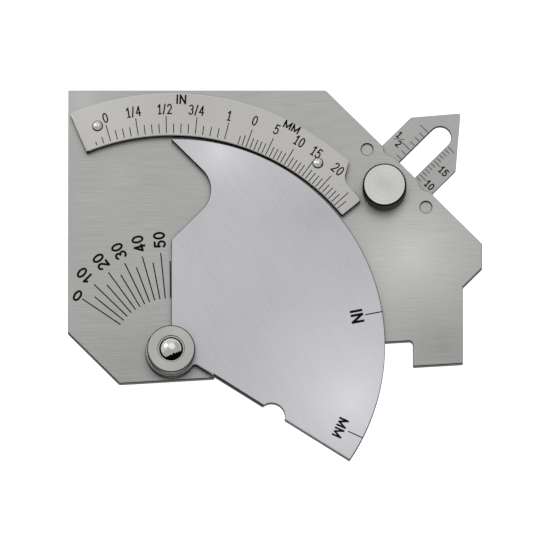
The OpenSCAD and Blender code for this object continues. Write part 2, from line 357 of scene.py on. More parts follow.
@dataclass(frozen=True)
class TurnedSteel(Finish):
    """Steel turned on a lathe: fine rings about the piece's own axis that spread the light into fans.

    Args:
        roughness: Middle roughness.
        rough_spread: Difference that the rings make to it.
        ring: Width of the rings.
        contrast: Share by which the rings are lighter or darker.
        fan: Strength of the fans of light.
        middle: Radius of the duller middle, where the tool slows down.
        dullness: Share by which that middle is darker.
        relief: Strength of the rings' bump and their height.
    """

    roughness: float = 0.3
    rough_spread: float = 0.06
    ring: float = 0.3
    contrast: float = 0.12
    fan: float = 0.7
    middle: float = 3.0
    dullness: float = 0.0
    relief: tuple[float, float] = (0.25, 0.02)

    def material(self, axis: Vector) -> Material:
        """Builds the material.

        Args:
            axis: Point on the axis of the turned piece, in metres.

        Returns:
            The new material.
        """
        material, place = self.begin()
        tree = material.node_tree
        centred = add_node(tree, "ShaderNodeMapping", {
            "Vector": place, "Location": axis, "Scale": (self.ring * MM, self.ring * MM, 1e3)},
            vector_type="TEXTURE").outputs[0]
        radius = add_node(tree, "ShaderNodeVectorMath", {0: centred}, operation="LENGTH").outputs["Value"]
        # Tool marks of a few hundredths of a millimetre are drawn at the ring width, so that they show.
        rings = add_node(tree, "ShaderNodeTexNoise", {
            "W": radius, "Scale": 1.0, "Detail": 3.0, "Roughness": 0.6}, noise_dimensions="1D").outputs["Fac"]
        dull = ramp(tree, radius, -self.dullness, 0.0, end=self.middle / self.ring, curve=SOFT)
        tone = compute(tree, "ADD", ramp(tree, rings, 1 - self.contrast, 1 + self.contrast), dull)
        rough = ramp(tree, rings, self.roughness - self.rough_spread, self.roughness + self.rough_spread)
        around = add_node(tree, "ShaderNodeTangent", direction_type="RADIAL", axis="Z").outputs[0]
        tree.links.new(around, tree.nodes["Principled BSDF"].inputs["Tangent"])
        return self.complete(material, tone, rough, rings, self.relief,
                             {"Metallic": 1.0, "Anisotropic": self.fan})


@dataclass(frozen=True)
class PlainSurface(Finish):
    """Surface with no direction: polished, cut, tempered or painted, with faint cloudy handling marks.

    Args:
        roughness: Middle roughness.
        rough_share: Share of it by which the marks are rougher or smoother.
        mark_size: Size of the marks.
        contrast: Share by which the marks are lighter or darker.
        relief: Strength of the marks' bump and their height.
        metallic: One for steel, zero for paint.
        shine: Level of the mirror reflection on paint.
    """

    roughness: float
    rough_share: float = 0.15
    mark_size: float = 1.5
    contrast: float = 0.06
    relief: tuple[float, float] = (0.05, 0.01)
    metallic: float = 1.0
    shine: float = 0.5

    def material(self) -> Material:
        """Builds the material.

        Returns:
            The new material.
        """
        material, place = self.begin()
        tree = material.node_tree
        marks = add_node(tree, "ShaderNodeTexNoise", {
            "Vector": place, "Scale": 1 / (self.mark_size * MM), "Detail": 3.0}).outputs["Fac"]
        tone = ramp(tree, marks, 1 - self.contrast, 1 + self.contrast)
        spread = self.rough_share * self.roughness
        rough = ramp(tree, marks, self.roughness - spread, self.roughness + spread)
        return self.complete(material, tone, rough, marks, self.relief,
                             {"Metallic": self.metallic, "Specular IOR Level": self.shine})


class Palette:
    """The gauge's finishes, each built once."""

    def __init__(self) -> None:
        """Builds the materials that several pieces share."""
        # Belt-brushed stainless steel: grey, with streaks along the top edge and patches of painted light and
        # shade: brighter near the throat edge and under the knob, darker at the right foot and the lower
        # left.
        self.plate = BrushedSteel("brushed_plate_steel", "#b2b2b0", Grain.PLATE, patches=(
            Patch(60, 25, 31, 0.45), Patch(68, 2, 24, -0.2), Patch(-12, -4, 26, -0.1),
            Patch(56.5, 37, 7, 0.4), Patch(-22, 64, 14, 0.2))).material()
        # Belt-brushed stainless steel: lighter than the plate and cooler, with slanted streaks and painted
        # light and shade: lighter towards its top and its lower right, darker near its upper right rim.
        self.cam = BrushedSteel("brushed_cam_steel", "#c5c4c8", Grain.CAM, contrast=0.18, patches=(
            Patch(12, 51, 16, 0.35), Patch(45, -13, 38, 0.46), Patch(37, 35, 18, -0.12))).material()
        # Satin stainless strip: nearly even and a little warm, with a painted highlight that makes it
        # brightest at its left end.
        self.scale = BrushedSteel("satin_scale_steel", "#c1bfbb", Grain.SCALE, contrast=0.14, patches=(
            Patch(-18, 60, 24, 0.14),)).material()
        # Satin stainless strip: duller than the plate, with streaks along its length.
        self.pointer = BrushedSteel("satin_pointer_steel", "#b0b0ae", Grain.POINTER, contrast=0.2).material()
        # Sawn and ground steel, painted near black as the shade on the sides and near-side edges and as the
        # dark reflection on the rivets' near sides: reads as a black line beside the bright faces.
        self.cut_edge = PlainSurface("cut_steel_painted_dark", "#0f0e0d", 0.5).material()
        # Ground steel edge, painted darker than the faces as the shade along the edge: a soft grey line,
        # lightest towards the window.
        self.ground_edge = PlainSurface("ground_edge_steel_painted_shade", "#8f8c89", 0.35).material()
        # Freshly ground steel edge: lighter than the faces, with a soft shine.
        self.bright_edge = PlainSurface("bright_ground_edge_steel", "#bdbab6", 0.38).material()
        # Black enamel rubbed into the engraving: dull and brownish black.
        self.ink = PlainSurface("black_fill_enamel", "#150d06", 0.8, metallic=0.0, shine=0.1).material()
        # Polished steel: mirrors the studio, so the lamps show in it as bright spots.
        self.polished = PlainSurface("polished_rivet_steel", "#e2e2e0", 0.2).material()
        # Steel wire cut off and left as it was: satin and a little warm.
        self.cut_wire = PlainSurface("cut_rivet_steel", "#b7b3af", 0.34).material()
        # Tempered spring steel: darker and smoother than the plates.
        self.spring = PlainSurface("tempered_spring_steel", "#55534f", 0.35).material()
        # Rough-turned steel, painted dark as the shade on the sides of the washers, the guide rivets and the
        # nut, on the screw's chamfers and on the cam's ground edge.
        self.turned_side = PlainSurface("turned_steel_painted_shade", "#413f3b", 0.4).material()


def bow(x: float, y: float, wide: float, high: float, start: float, end: float) -> tuple[Point, ...]:
    """Returns points along an arc of an upright ellipse.

    Args:
        x: Middle of the ellipse, across.
        y: Middle of the ellipse, up.
        wide: Half of its width.
        high: Half of its height.
        start: First angle in degrees.
        end: Last angle in degrees.

    Returns:
        Points every fifteen degrees or so.
    """
    steps = max(2, round(abs(end - start) / 15))
    angles = [math.radians(start + (end - start) * i / steps) for i in range(steps + 1)]
    return tuple((x + wide * math.cos(a), y + high * math.sin(a)) for a in angles)


# Figures and letters, one unit high: width, then the strokes that the engraving tool runs along.
GLYPHS: dict[str, tuple[float, tuple[tuple[Point, ...], ...]]] = {
    "0": (0.6, (bow(0.3, 0.5, 0.3, 0.5, 0, 360),)),
    "1": (0.48, (((0.04, 0.76), (0.3, 1.0), (0.3, 0.0)),)),
    "2": (0.6, (bow(0.3, 0.71, 0.28, 0.29, 165, -35) + ((0.0, 0.0), (0.6, 0.0)),)),
    "3": (0.6, (bow(0.28, 0.75, 0.27, 0.25, 150, -75), bow(0.28, 0.27, 0.31, 0.27, 75, -150))),
    "4": (0.64, (((0.46, 0.0), (0.46, 1.0), (0.0, 0.29), (0.64, 0.29)),)),
    "5": (0.6, (((0.56, 1.0), (0.11, 1.0)) + bow(0.29, 0.32, 0.31, 0.32, 138, -150),)),
    "I": (0.0, (((0.0, 0.0), (0.0, 1.0)),)),
    "N": (0.6, (((0.0, 0.0), (0.0, 1.0), (0.6, 0.0), (0.6, 1.0)),)),
    "M": (0.78, (((0.0, 0.0), (0.0, 1.0), (0.39, 0.08), (0.78, 1.0), (0.78, 0.0)),)),
    "/": (0.3, (((0.0, -0.04), (0.3, 1.04)),)),
}
FOOT: tuple[Point, ...] = ((0.1, 0.0), (0.5, 0.0))


class Lettering(Enum):
    """Kinds of figures: share of the usual width, weight and gap as shares of the height, and a footed 1."""

    ANGLE = (0.93, 0.195, 0.05, False)
    ARC = (0.7, 0.14, 0.075, True)
    UNIT = (1.0, 0.18, 0.12, False)
    WIDE = (1.2, 0.2, 0.1, False)
    INDEX = (1.06, 0.19, 0.115, False)
    SMALL = (0.85, 0.21, 0.06, True)


@dataclass
class Engraving:
    """Paint-filled marks on one face, cut along their strokes by a round tool, which end as one thin piece.

    Args:
        name: Name of the piece.
        node: CAD node that carries the marks.
        proud: Height of the paint over the face.
        depth: Thickness of the paint.
        corner: Angle in degrees over which a stroke is cut again from its corner.
        run_out: Share of its width by which a stroke of a figure runs past its end.
        tools: One curve for each width of stroke.
    """

    name: str
    node: str
    proud: float = 0.012
    depth: float = 0.03
    corner: float = 35.0
    run_out: float = 0.35
    tools: dict[float, Curve] = field(default_factory=dict)

    def cut(self, points: list[Vector], width: float) -> None:
        """Runs the tool once along flat points that make no sharp corner.

        Args:
            points: Points along the run.
            width: Width of the stroke.
        """
        width = round(width, 3)
        if width not in self.tools:
            curve = bpy.data.curves.new(self.name, "CURVE")
            curve.dimensions = "3D"
            curve.twist_mode = "Z_UP"
            curve.bevel_depth = width / 2 * MM
            curve.bevel_resolution = 2
            curve.use_fill_caps = True
            self.tools[width] = curve
        run = self.tools[width].splines.new("POLY")
        run.points.add(len(points) - 1)
        for knot, point in zip(run.points, points):
            knot.co = (point.x * MM, point.y * MM, 0, 1)

    def line(self, start: Vector, end: Vector, width: float) -> None:
        """Cuts one straight line between two flat points."""
        self.cut([start, end], width)

    def stroke(self, points: list[Vector], width: float) -> None:
        """Cuts one stroke of a figure, again from each sharp corner so that the corners stay full.

        Args:
            points: Flat points along the stroke.
            width: Width of the stroke.
        """
        runs = [[points[0]]]
        for before, here, after in zip(points, points[1:], points[2:]):
            runs[-1].append(here)
            if math.degrees((here - before).angle(after - here)) > self.corner:
                runs.append([here])
        runs[-1].append(points[-1])
        for run in runs:
            first = run[0] + (run[0] - run[1]).normalized() * self.run_out * width
            last = run[-1] + (run[-1] - run[-2]).normalized() * self.run_out * width
            self.cut([first, *run[1:-1], last], width)

    def figures(self, text: str, centre: Vector, angle: float, height: float, style: Lettering) -> None:
        """Cuts figures or letters, centred on a point.

        Args:
            text: Characters to cut.
            centre: Middle of the characters, flat.
            angle: Direction of reading in degrees.
            height: Height of the characters over their strokes.
            style: Width and weight of the characters.
        """
        share, weight, space, footed = style.value
        width = weight * height
        rise = height - width
        gap = width + space * height
        along, up = polar(1, angle), polar(1, angle + 90)
        at = -(sum(GLYPHS[letter][0] * share * rise for letter in text) + gap * (len(text) - 1)) / 2
        for letter in text:
            advance, strokes = GLYPHS[letter]
            for path in strokes + ((FOOT,) if footed and letter == "1" else ()):
                places = ((at + x * share * rise, (y - 0.5) * rise) for x, y in path)
                self.stroke([centre + x * along + y * up for x, y in places], width)
            at += advance * share * rise + gap

    def finish(self, ink: Material) -> None:
        """Turns the strokes into one flat piece that rides with the node that they are cut in.

        Args:
            ink: Material of the filled marks.
        """
        level = top_of(self.node) + self.proud - self.depth / 2
        cuts = []
        for width, curve in self.tools.items():
            mark = bpy.data.objects.new(self.name, curve)
            bpy.context.collection.objects.link(mark)
            select_only(mark)
            bpy.ops.object.convert(target="MESH")
            mark.data.transform(Matrix.Translation((0, 0, level * MM))
                                @ Matrix.Diagonal((1, 1, self.depth / width, 1)))
            mark.data.materials.clear()
            mark.data.materials.append(ink)
            cuts.append(mark)
        select_only(cuts[0])
        for mark in cuts:
            mark.select_set(True)
        bpy.ops.object.join()
        piece = cuts[0]
        piece.name = self.name
        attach(piece, body_of(self.node))
        LOG.info("%s: %d faces", self.name, len(piece.data.polygons))


@dataclass(frozen=True)
class Slope:
    """Flat slope along a straight edge of a plate's upper face.

    Args:
        angle: Direction of the edge, with the face on its left.
        offset: Distance of the edge from the pivot axis.
        width: Width of the slope.
        drop: Depth of the slope at the edge.
        begin: Distance along the edge at which it begins.
        run_in: Length over which it deepens.
        end: Distance along the edge at which it ends.
    """

    angle: float
    offset: float
    width: float
    drop: float
    begin: float
    run_in: float
    end: float


@dataclass
class NodeSkin:
    """Copy of a CAD node with broken edges that stands for it.

    Args:
        node: Name of the CAD node.
        edge: Width of the edge break.
        merge: Distance under which two points are one.
        flat: Angle in degrees under which neighbouring faces are one.
        sharp: Angle in degrees over which an edge counts as sharp.
        top_slope: Upward share of a face's direction over which the face counts as level.
        side_slope: Upward share of a face's direction under which the face counts as a slope.
        wall_slope: Upward share of a face's direction under which the face counts as a wall.
    """

    node: str
    edge: float = 0.14
    merge: float = 0.001
    flat: float = 0.2
    sharp: float = 35.0
    top_slope: float = 0.99
    side_slope: float = 0.8
    wall_slope: float = 0.3

    def copy(self) -> Object:
        """Copies the node's mesh and merges it.

        Returns:
            The new piece, at the origin.
        """
        piece = bpy.data.objects.new(f"{self.node}_finished", frame["nodes"][self.node].data.copy())
        bpy.context.collection.objects.link(piece)
        select_only(piece)
        bpy.ops.mesh.customdata_custom_splitnormals_clear()
        with editing(piece):
            bpy.ops.mesh.select_all(action="SELECT")
            bpy.ops.mesh.remove_doubles(threshold=self.merge * MM)
            bpy.ops.mesh.dissolve_limited(angle_limit=math.radians(self.flat))
        return piece

    def ease(self, piece: Object, gap: float) -> None:
        """Draws both faces of a flat plate in by a gap, so that it slides clear of its neighbours.

        Args:
            piece: Piece to work on.
            gap: Distance by which each face is drawn in.
        """
        levels = [point.co.z for point in piece.data.vertices]
        middle = (min(levels) + max(levels)) / 2
        for point in piece.data.vertices:
            point.co.z += gap * MM if point.co.z < middle else -gap * MM

    def score(self, piece: Object, at: Vector, across: Vector) -> None:
        """Cuts the upper face in two along a flat line.

        Args:
            piece: Piece to work on.
            at: Flat point on the line, in millimetres.
            across: Flat direction across the line.
        """
        with editing(piece):
            bpy.ops.mesh.select_mode(type="FACE")
            bpy.ops.mesh.select_all(action="DESELECT")
        level = top_of(self.node) - LEVEL
        for polygon in piece.data.polygons:
            polygon.select = polygon.normal.z > self.top_slope and polygon.center.z > level * MM
        with editing(piece):
            bpy.ops.mesh.bisect(plane_co=(at.x * MM, at.y * MM, 0), plane_no=(across.x, across.y, 0))

    def grind(self, piece: Object, slope: Slope) -> None:
        """Grinds a slope into the upper face along one of its straight edges.

        Args:
            piece: Piece to work on.
            slope: Place and size of the slope.
        """
        along, inward = polar(1, slope.angle), polar(1, slope.angle + 90)
        reach = slope.offset + slope.width
        self.score(piece, reach * inward, inward)
        for place in (slope.begin, slope.begin + slope.run_in):
            self.score(piece, place * along, along)
        level = top_of(self.node) - LEVEL
        for point in piece.data.vertices:
            place = point.co / MM
            beyond = reach - place.xy.dot(inward)
            run = place.xy.dot(along) - slope.begin
            if place.z > level and beyond > 0 and 0 < run < slope.end - slope.begin:
                share = min(1, run / slope.run_in)
                point.co.z -= share * slope.drop * beyond / slope.width * MM

    def bevel(self, piece: Object, wanted: EdgeTest, width: float, segments: int, clamp: bool) -> None:
        """Bevels the sharp edges that pass a test.

        Args:
            piece: Piece to work on.
            wanted: Test of an edge's two ends in millimetres.
            width: Width taken off each face.
            segments: Number of steps across the bevel.
            clamp: Whether short edges beside it hold the bevel back.
        """
        with editing(piece):
            bpy.ops.mesh.select_mode(type="EDGE")
            bpy.ops.mesh.select_all(action="DESELECT")
            bpy.ops.mesh.edges_select_sharp(sharpness=math.radians(self.sharp))
        points = [point.co / MM for point in piece.data.vertices]
        for edge in piece.data.edges:
            edge.select = edge.select and wanted(*(points[i] for i in edge.vertices))
        with editing(piece):
            bpy.ops.mesh.bevel(offset=width * MM, segments=segments, affect="EDGES", clamp_overlap=clamp)

    def round_corners(self, piece: Object, radius: float, clear_r: float = 0.0) -> None:
        """Rounds the upright corners of a plate.

        Args:
            piece: Piece to work on.
            radius: Radius of the corners.
            clear_r: Distance from the pivot axis up to which corners stay sharp.
        """
        def upright(low: Vector, high: Vector) -> bool:
            """Tells whether an edge is an upright corner outside the clear radius."""
            return (low.xy - high.xy).length < LEVEL and low.xy.length > clear_r

        self.bevel(piece, upright, radius, segments=3, clamp=True)

    def finish(self, piece: Object) -> Object:
        """Breaks the edges, smooths the round walls and sets the piece in the node's place.

        Args:
            piece: Piece to finish.

        Returns:
            The same piece.
        """
        select_only(piece)
        broken = piece.modifiers.new("edge_break", "BEVEL")
        broken.width = self.edge * MM
        broken.segments = 1
        broken.use_clamp_overlap = False
        broken.limit_method = "ANGLE"
        broken.angle_limit = math.radians(self.sharp)
        bpy.ops.object.modifier_apply(modifier=broken.name)
        bpy.ops.object.shade_smooth_by_angle(angle=math.radians(self.sharp))
        flat = piece.modifiers.new("flat_faces", "WEIGHTED_NORMAL")
        flat.weight = 100
        flat.keep_sharp = True
        bpy.ops.object.modifier_apply(modifier=flat.name)
        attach(piece, body_of(self.node))
        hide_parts(self.node)
        LOG.info("%s: %d faces", piece.name, len(piece.data.polygons))
        return piece

    def dress(self, piece: Object, face: Material, side: Material,
              rim: Material | None = None, dark: FaceTest | None = None) -> None:
        """Gives the flat faces one finish and the cut sides another.

        Args:
            piece: Piece to dress.
            face: Finish of the faces.
            side: Finish of the sides, and of the edge breaks where they have none of their own.
            rim: Finish of the slopes and edge breaks.
            dark: Test that finds the upward faces that are finished like the sides, to paint shade or a dark
                reflection on them.
        """
        piece.data.materials.clear()
        for finish in (face, side, rim or side):
            piece.data.materials.append(finish)
        for polygon in piece.data.polygons:
            steep = abs(polygon.normal.z)
            sunk = dark is not None and polygon.normal.z > 0 and dark(polygon)
            if sunk or steep < self.wall_slope:
                polygon.material_index = 1
            else:
                polygon.material_index = 2 if steep < self.side_slope else 0

    def stand_in(self, face: Material, side: Material, rim: Material | None = None,
                 dark: FaceTest | None = None) -> None:
        """Copies, finishes and dresses a node that needs no other work, with what dress() takes."""
        self.dress(self.finish(self.copy()), face, side, rim, dark)


class SubAssembly(ABC):
    """Group of pieces that are fitted together on the bench."""

    @abstractmethod
    def build(self, palette: Palette) -> None:
        """Models the pieces and dresses them in the palette's finishes.

        Args:
            palette: Finishes that the pieces share.
        """


@dataclass
class BodyPlate(SubAssembly):
    """Bridge plate with its fan of angle lines, every five degrees, with figures every ten.

    Args:
        corner_r: Radius of the plate's corners.
        centre_drop: Distance of the fan's centre below the pivot axis.
        last_angle: Direction of the last line.
        last: Reading of the last line.
        inner_r: Radius of the lines' inner ends.
        long_r: Radius of the outer ends of the lines with figures.
        short_r: Radius of the other lines' outer ends.
        figure_r: Radius of the figures' middles.
        digit: Distance by which a single figure is nearer.
        figure_h: Height of the figures.
        line_w: Width of the lines.
    """

    corner_r: float = 0.35
    centre_drop: float = 1.35
    last_angle: float = 90.7
    last: int = 55
    inner_r: float = 15.35
    long_r: float = 27.0
    short_r: float = 24.8
    figure_r: float = 30.3
    digit: float = 1.9
    figure_h: float = 3.15
    line_w: float = 0.33

    def build(self, palette: Palette) -> None:
        """Models the plate, its rivets and its angle lines.

        Args:
            palette: Finishes that the pieces share.
        """
        skin = NodeSkin("body_plate")
        piece = skin.copy()
        skin.round_corners(piece, self.corner_r)
        # The sides and the near-side slopes get painted shade: black sides and grey edge breaks.
        skin.dress(skin.finish(piece), palette.plate, palette.cut_edge, palette.ground_edge, faces_near)
        NodeSkin("guide_rivets", edge=0.05).stand_in(palette.cut_wire, palette.turned_side)
        self.engrave().finish(palette.ink)

    def engrave(self) -> Engraving:
        """Cuts the fan into the plate's front face.

        Returns:
            The marks.
        """
        marks = Engraving("angle_scale", "body_plate")
        centre = Vector((0, -self.centre_drop))
        for reading in range(0, self.last + 1, 5):
            angle = self.last_angle + self.last - reading
            outer = self.short_r if reading % 10 else self.long_r
            marks.line(centre + polar(self.inner_r, angle), centre + polar(outer, angle), self.line_w)
            if reading % 10 == 0:
                radius = self.figure_r if reading else self.figure_r - self.digit
                marks.figures(str(reading), centre + polar(radius, angle), angle, self.figure_h,
                              Lettering.ANGLE)
        return marks


@dataclass(frozen=True)
class Graduation:
    """One unit's graduation on the arc scale, with its figures and its unit mark.

    Args:
        zero: Direction of the zero line.
        arm: Distance from the pivot to the measuring point that the lines are cut for.
        step: Height from one line to the next.
        last: Number of the last line.
        major: Number of lines from one figure to the next.
        inner_r: Radius of the lines' inner ends.
        stubs: Lengths by which the lines before zero are shorter, from the outermost.
        figures: Text of each figure and the angle by which it leads its line.
        figure_r: Radius of the figures' middles.
        unit: Letters of the unit mark.
        unit_h: Height of the unit mark.
        unit_r: Radius of its middle.
        unit_angle: Direction of its middle.
        unit_style: Width and weight of its letters.
        drop: Height of the measuring point over the pivot's own level at zero.
    """

    zero: float
    arm: float
    step: float
    last: int
    major: int
    inner_r: float
    stubs: tuple[float, ...]
    figures: tuple[tuple[str, float], ...]
    figure_r: float
    unit: str
    unit_h: float
    unit_r: float
    unit_angle: float
    unit_style: Lettering
    drop: float = 5.9

    def angle(self, number: int) -> float:
        """Returns the direction of a line, counted from zero."""
        turn = math.asin((number * self.step - self.drop) / self.arm) + math.asin(self.drop / self.arm)
        return self.zero - math.degrees(turn)


@dataclass
class ArcScale(SubAssembly):
    """Arc scale with inch and millimetre graduations, which the cam's index lines run along.

    Args:
        corner_r: Radius of the strip's outer corners.
        outer_r: Distance from the pivot axis over which a corner is an outer one.
        rim_r: Radius of the strip's inner edge.
        rim_reach: Distance from it up to which a point lies on it.
        rim_w: Width of the edge break along it, painted black as the strip's shade on the plate.
        end: Slope that is ground into the left end.
        dark_from: Direction of the rivets' dark side, a painted reflection of the dark side of the room.
        dark_lean: Lean towards that direction over which a rivet's rim is painted dark.
        dark_slope: Upward share of a face's direction under which it belongs to a rivet's rim.
        long_r: Radius of the outer ends of the lines with figures.
        short_r: Radius of the other lines' outer ends.
        line_w: Width of the lines.
        figure_h: Height of the figures.
        inches: Inch graduation in sixteenths.
        millimetres: Millimetre graduation.
    """

    corner_r: float = 0.3
    outer_r: float = 55.9
    rim_r: float = 54.9
    rim_reach: float = 0.03
    rim_w: float = 0.2
    end: Slope = Slope(angle=-67.3, offset=0.0, width=0.55, drop=0.2, begin=-70.0, run_in=1.0, end=0.0)
    dark_from: float = -50.0
    dark_lean: float = -0.2
    dark_slope: float = 0.75
    long_r: float = 59.95
    short_r: float = 58.0
    line_w: float = 0.25
    figure_h: float = 2.7
    inches: Graduation = Graduation(
        zero=105.9, arm=50.0, step=INCH / 16, last=16, major=4, inner_r=55.6, stubs=(1.4, 0.7),
        figures=(("0", -0.3), ("1/4", 0.3), ("1/2", 0.3), ("3/4", 0.3), ("1", 0.3)), figure_r=61.7,
        unit="IN", unit_h=2.6, unit_r=64.2, unit_angle=87.8, unit_style=Lettering.UNIT)
    millimetres: Graduation = Graduation(
        zero=70.3, arm=52.3, step=1.0, last=26, major=5, inner_r=55.25, stubs=(0.6, 0.0),
        figures=(("0", 0.1), ("5", 0.2), ("10", -0.25), ("15", 0.6), ("20", -0.1)), figure_r=62.3,
        unit="MM", unit_h=2.15, unit_r=64.55, unit_angle=62.2, unit_style=Lettering.WIDE)

    def build(self, palette: Palette) -> None:
        """Models the strip, its rivets and its graduations.

        Args:
            palette: Finishes that the pieces share.
        """
        skin = NodeSkin("arc_scale", side_slope=0.96)
        piece = skin.copy()
        skin.grind(piece, self.end)
        skin.bevel(piece, self.on_rim, self.rim_w, segments=1, clamp=False)
        skin.round_corners(piece, self.corner_r, self.outer_r)
        # The strip's sides and its inner edge break get painted shade.
        skin.dress(skin.finish(piece), palette.scale, palette.cut_edge, palette.bright_edge, faces_near)
        # The rivets' near rims are painted black as a reflection of the room's dark side.
        NodeSkin("scale_rivets", edge=0.02, side_slope=0.72).stand_in(
            palette.polished, palette.cut_edge, palette.ground_edge, self.on_dark_rim)
        marks = Engraving("arc_graduations", "arc_scale")
        for graduation in (self.inches, self.millimetres):
            self.engrave(marks, graduation)
        marks.finish(palette.ink)

    def on_rim(self, first: Vector, second: Vector) -> bool:
        """Tells whether an edge lies on the strip's upper inner edge.

        Args:
            first: One end of the edge.
            second: Its other end.

        Returns:
            Whether it does.
        """
        level = top_of("arc_scale") - 2 * self.end.drop
        away = max(abs(end.xy.length - self.rim_r) for end in (first, second))
        return away < self.rim_reach and min(first.z, second.z) > level

    def on_dark_rim(self, face: MeshPolygon) -> bool:
        """Tells whether a face lies on the side of a rivet's rim that is painted dark as a reflection of the
        room's dark side.
        """
        lean = face.normal.xy.dot(polar(1, self.dark_from))
        return face.normal.z < self.dark_slope and lean > self.dark_lean

    def engrave(self, marks: Engraving, graduation: Graduation) -> None:
        """Cuts one unit's lines, figures and unit mark.

        Args:
            marks: Marks on the strip.
            graduation: Graduation to cut.
        """
        for number in range(-len(graduation.stubs), graduation.last + 1):
            angle = graduation.angle(number)
            outer = self.short_r if number % graduation.major else self.long_r
            if number < 0:
                outer -= graduation.stubs[number]
            marks.line(polar(graduation.inner_r, angle), polar(outer, angle), self.line_w)
        for place, (text, lead) in enumerate(graduation.figures):
            angle = graduation.angle(place * graduation.major) + lead
            marks.figures(text, polar(graduation.figure_r, angle), angle - 90, self.figure_h, Lettering.ARC)
        angle = graduation.unit_angle
        marks.figures(graduation.unit, polar(graduation.unit_r, angle), angle - 90, graduation.unit_h,
                      graduation.unit_style)


@dataclass(frozen=True)
class IndexMark:
    """Index line on the cam with its unit mark.

    Args:
        unit: Letters of the unit mark.
        angle: Direction of the line.
        inner_r: Radius of the line's inner end.
        outer_r: Radius of the line's outer end.
        letter_h: Height of the letters.
    """

    unit: str
    angle: float
    inner_r: float
    outer_r: float
    letter_h: float


@dataclass
class Cam(SubAssembly):
    """Cam with a ground lower edge and an index line for each unit of the arc scale.

    Args:
        ground: Slope that is ground into the lower edge, from the plate's foot to the notch.
        line_w: Width of an index line.
        letter_gap: Distance from the line's inner end to the unit mark's middle.
        indexes: Index lines with their unit marks.
    """

    ground: Slope = Slope(angle=-32.3, offset=0.5, width=0.55, drop=0.5, begin=11.2, run_in=0.8, end=30.0)
    line_w: float = 0.3
    letter_gap: float = 2.1
    indexes: tuple[IndexMark, ...] = (IndexMark("IN", 10.9, 49.35, 53.8, 3.35),
                                      IndexMark("MM", -24.6, 48.5, 52.5, 2.75))

    def build(self, palette: Palette) -> None:
        """Models the cam and its index marks.

        Args:
            palette: Finishes that the pieces share.
        """
        skin = NodeSkin("cam_plate", sharp=50.0)
        piece = skin.copy()
        skin.grind(piece, self.ground)
        # The ground edge and the V cut's near edges get painted shade.
        skin.dress(skin.finish(piece), palette.cam, palette.cut_edge, palette.turned_side, self.in_cut)
        marks = Engraving("cam_index_marks", "cam_plate")
        for mark in self.indexes:
            marks.line(polar(mark.inner_r, mark.angle), polar(mark.outer_r, mark.angle), self.line_w)
            marks.figures(mark.unit, polar(mark.inner_r - self.letter_gap, mark.angle), mark.angle - 90,
                          mark.letter_h, Lettering.INDEX)
        marks.finish(palette.ink)

    def in_cut(self, face: MeshPolygon) -> bool:
        """Tells whether a face is a near edge of the V cut, which the ground slope doesn't reach, and so gets
        painted shade.
        """
        return faces_near(face) and face.center.xy.dot(polar(1, self.ground.angle)) < self.ground.begin * MM


@dataclass
class Pivot(SubAssembly):
    """Riveted pivot with its washers and its disc spring.

    Args:
        edge: Width of the edge break on the washers.
        dark_from: Direction of the dome's dark side, a painted reflection of the dark side of the room.
        dark_lean: Lean towards that direction over which the dome is painted dark.
    """

    edge: float = 0.06
    dark_from: float = -68.0
    dark_lean: float = 0.4

    def build(self, palette: Palette) -> None:
        """Models the washers, the rivet and the spring.

        Args:
            palette: Finishes that the pieces share.
        """
        for node in ("pivot_washer", "rear_washer"):
            # Steel turned on its faces: fine rings that catch the light in fans.
            face = TurnedSteel(f"turned_{node}_steel", "#b8b8b4").material(axis_of(node))
            NodeSkin(node, edge=self.edge).stand_in(face, palette.turned_side)
        # The dome's near side is painted black as a reflection of the room's dark side.
        NodeSkin("pivot_rivet", edge=0.02, side_slope=0.74).stand_in(
            palette.polished, palette.cut_edge, dark=self.on_dark_side)
        NodeSkin("disc_spring", edge=0.02).stand_in(palette.spring, palette.spring)

    def on_dark_side(self, face: MeshPolygon) -> bool:
        """Tells whether a face lies on the dome's dark side, which is painted black as a reflection of the
        room.
        """
        return face.normal.xy.dot(polar(1, self.dark_from)) > self.dark_lean


